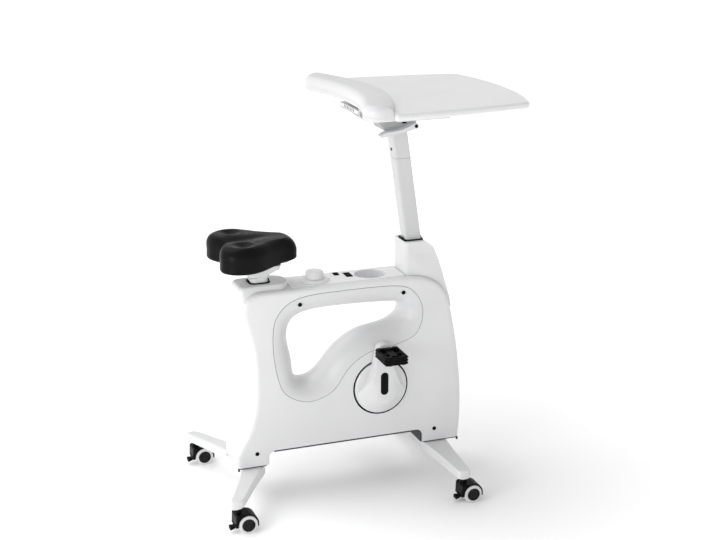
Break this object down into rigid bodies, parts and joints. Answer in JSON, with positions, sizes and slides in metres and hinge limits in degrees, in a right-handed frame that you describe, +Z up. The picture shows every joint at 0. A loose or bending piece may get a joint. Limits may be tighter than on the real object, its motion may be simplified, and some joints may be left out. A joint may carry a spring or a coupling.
{
  "type": "desk exercise bike",
  "caption": "Stationary exercise bike with a height-adjustable saddle, a desktop with a padded arm rest, a resistance knob, a cup holder and braked casters.",
  "frame": {"origin": "on the floor below the middle of the bounding box", "axes": "+X forward, the way the rider faces; +Y to the rider's left; +Z up"},
  "size_m": [0.881, 0.588, 1.1291],
  "materials": {
    "white_plastic": "satin moulded plastic",
    "pale_grey_plastic": "satin moulded plastic",
    "white_coated_steel": "smooth powder coat",
    "black_plastic": "moulded, slightly grained",
    "black_skin": "smooth synthetic skin over foam",
    "pale_grey_skin": "smooth synthetic skin over foam",
    "dark_lens": "polished",
    "steel": "turned",
    "cast_metal": "cast and turned",
    "rubber": "matte",
    "pale_tyre": "soft pale tread"
  },
  "bodies": {
    "base": {"main_frame": "white_coated_steel", "rear_leg": "white_coated_steel", "front_leg": "white_coated_steel", "left_shell": "white_plastic", "right_shell": "white_plastic", "seat_shroud": "white_plastic", "console": "white_plastic", "column_shroud": "white_plastic", "right_window_trim": "pale_grey_plastic", "left_window_trim": "pale_grey_plastic", "seat_collar": "black_plastic", "column_collar": "black_plastic", "console_display": "dark_lens", "knob_base": "white_plastic", "right_crank_bearing": "steel", "left_crank_bearing": "steel", "drive_belt": "rubber", "flywheel_axle": "steel", "resistance_cable": "rubber", "seat_gas_spring": "black_plastic", "desk_gas_spring": "black_plastic"},
    "seat": {"seat_post": "white_coated_steel", "seat_adapter": "pale_grey_plastic", "saddle_base": "black_plastic", "saddle": "black_skin"},
    "seat_release": {"seat_lever": "black_plastic"},
    "mast": {"desk_column": "white_coated_steel", "column_head": "pale_grey_plastic", "desk_support": "white_coated_steel"},
    "height_release": {"height_lever": "pale_grey_plastic"},
    "desk": {"desktop": "white_plastic", "arm_pad": "pale_grey_skin"},
    "slide_release": {"slide_lock_paddle": "white_plastic"},
    "crank": {"crank_axle": "steel", "drive_pulley": "black_plastic", "right_crank": "white_plastic", "left_crank": "white_plastic", "right_crank_cap": "black_plastic", "left_crank_cap": "black_plastic", "right_pedal_spindle": "steel", "left_pedal_spindle": "steel"},
    "pedal_right": {"right_pedal": "black_plastic"},
    "pedal_left": {"left_pedal": "black_plastic"},
    "flywheel": {"flywheel": "cast_metal"},
    "magnets": {"magnet_bracket": "steel"},
    "knob": {"resistance_knob": "white_plastic"},
    "button": {"mode_button": "black_plastic"},
    "rear_right_caster": {"rear_right_caster_fork": "black_plastic"},
    "rear_right_rollers": {"rear_right_caster_wheels": "pale_tyre"},
    "rear_right_brake": {"rear_right_caster_brake": "black_plastic"},
    "rear_left_caster": {"rear_left_caster_fork": "black_plastic"},
    "rear_left_rollers": {"rear_left_caster_wheels": "pale_tyre"},
    "rear_left_brake": {"rear_left_caster_brake": "black_plastic"},
    "front_right_caster": {"front_right_caster_fork": "black_plastic"},
    "front_right_rollers": {"front_right_caster_wheels": "pale_tyre"},
    "front_right_brake": {"front_right_caster_brake": "black_plastic"},
    "front_left_caster": {"front_left_caster_fork": "black_plastic"},
    "front_left_rollers": {"front_left_caster_wheels": "pale_tyre"},
    "front_left_brake": {"front_left_caster_brake": "black_plastic"}
  },
  "joints": [
    {"name": "seat_height", "type": "slide", "parent": "base", "child": "seat", "axis": [-0.1045, 0, 0.9945], "range_m": [0, 0.17]},
    {"name": "seat_lever_lift", "type": "hinge", "parent": "seat", "child": "seat_release", "pos_m": [-0.27737, 0.0405, 0.6475], "axis": [1, 0, 0], "range_deg": [0, 12], "stiffness_Nm_per_rad": 0.15},
    {"name": "desk_height", "type": "slide", "parent": "base", "child": "mast", "axis": [-0.1426, 0, 0.9898], "range_m": [-0.08, 0.14]},
    {"name": "height_lever_lift", "type": "hinge", "parent": "mast", "child": "height_release", "pos_m": [0.1525, 0, 1.025], "axis": [0, 1, 0], "range_deg": [0, 8], "stiffness_Nm_per_rad": 1},
    {"name": "desk_slide", "type": "slide", "parent": "mast", "child": "desk", "axis": [1, 0, 0], "range_m": [-0.1, 0.01]},
    {"name": "slide_paddle_squeeze", "type": "hinge", "parent": "desk", "child": "slide_release", "pos_m": [0.015, 0, 1.0785], "axis": [0, 1, 0], "range_deg": [0, 8], "stiffness_Nm_per_rad": 0.3},
    {"name": "crank_turn", "type": "hinge", "parent": "base", "child": "crank", "pos_m": [0.0542, 0, 0.2872], "axis": [0, 1, 0], "continuous": true},
    {"name": "right_pedal_turn", "type": "hinge", "parent": "crank", "child": "pedal_right", "pos_m": [0.0542, -0.147, 0.4067], "axis": [0, 1, 0], "continuous": true},
    {"name": "left_pedal_turn", "type": "hinge", "parent": "crank", "child": "pedal_left", "pos_m": [0.0542, 0.147, 0.1677], "axis": [0, 1, 0], "continuous": true},
    {"name": "flywheel_spin", "type": "hinge", "parent": "base", "child": "flywheel", "pos_m": [-0.152, 0, 0.215], "axis": [0, 1, 0], "continuous": true},
    {"name": "knob_turn", "type": "hinge", "parent": "base", "child": "knob", "pos_m": [-0.118, 0, 0.6025], "axis": [0, 0, -1], "range_deg": [0, 270]},
    {"name": "magnet_swing", "type": "hinge", "parent": "base", "child": "magnets", "pos_m": [-0.068, 0, 0.176], "axis": [0, 1, 0], "range_deg": [0, 6]},
    {"name": "mode_press", "type": "slide", "parent": "base", "child": "button", "axis": [0, 0, -1], "range_m": [0, 0.0015], "stiffness_N_per_m": 300},
    {"name": "rear_right_swivel", "type": "hinge", "parent": "base", "child": "rear_right_caster", "pos_m": [-0.414, -0.232, 0.07], "axis": [0, 0, 1], "continuous": true},
    {"name": "rear_right_roll", "type": "hinge", "parent": "rear_right_caster", "child": "rear_right_rollers", "pos_m": [-0.393, -0.232, 0.026], "axis": [0, 1, 0], "continuous": true},
    {"name": "rear_right_brake_press", "type": "hinge", "parent": "rear_right_caster", "child": "rear_right_brake", "pos_m": [-0.42, -0.232, 0.0215], "axis": [0, -1, 0], "range_deg": [0, 12]},
    {"name": "rear_left_swivel", "type": "hinge", "parent": "base", "child": "rear_left_caster", "pos_m": [-0.414, 0.232, 0.07], "axis": [0, 0, 1], "continuous": true},
    {"name": "rear_left_roll", "type": "hinge", "parent": "rear_left_caster", "child": "rear_left_rollers", "pos_m": [-0.393, 0.232, 0.026], "axis": [0, 1, 0], "continuous": true},
    {"name": "rear_left_brake_press", "type": "hinge", "parent": "rear_left_caster", "child": "rear_left_brake", "pos_m": [-0.42, 0.232, 0.0215], "axis": [0, -1, 0], "range_deg": [0, 12]},
    {"name": "front_right_swivel", "type": "hinge", "parent": "base", "child": "front_right_caster", "pos_m": [0.2225, -0.267, 0.07], "axis": [0, 0, 1], "continuous": true},
    {"name": "front_right_roll", "type": "hinge", "parent": "front_right_caster", "child": "front_right_rollers", "pos_m": [0.2435, -0.267, 0.026], "axis": [0, 1, 0], "continuous": true},
    {"name": "front_right_brake_press", "type": "hinge", "parent": "front_right_caster", "child": "front_right_brake", "pos_m": [0.2165, -0.267, 0.0215], "axis": [0, -1, 0], "range_deg": [0, 12]},
    {"name": "front_left_swivel", "type": "hinge", "parent": "base", "child": "front_left_caster", "pos_m": [0.2225, 0.267, 0.07], "axis": [0, 0, 1], "continuous": true},
    {"name": "front_left_roll", "type": "hinge", "parent": "front_left_caster", "child": "front_left_rollers", "pos_m": [0.2435, 0.267, 0.026], "axis": [0, 1, 0], "continuous": true},
    {"name": "front_left_brake_press", "type": "hinge", "parent": "front_left_caster", "child": "front_left_brake", "pos_m": [0.2165, 0.267, 0.0215], "axis": [0, -1, 0], "range_deg": [0, 12]}
  ],
  "couplings": [
    {"joint": "flywheel_spin", "follows": "crank_turn", "ratio": 5},
    {"joint": "magnet_swing", "follows": "knob_turn", "ratio": 0.022222}
  ]
}
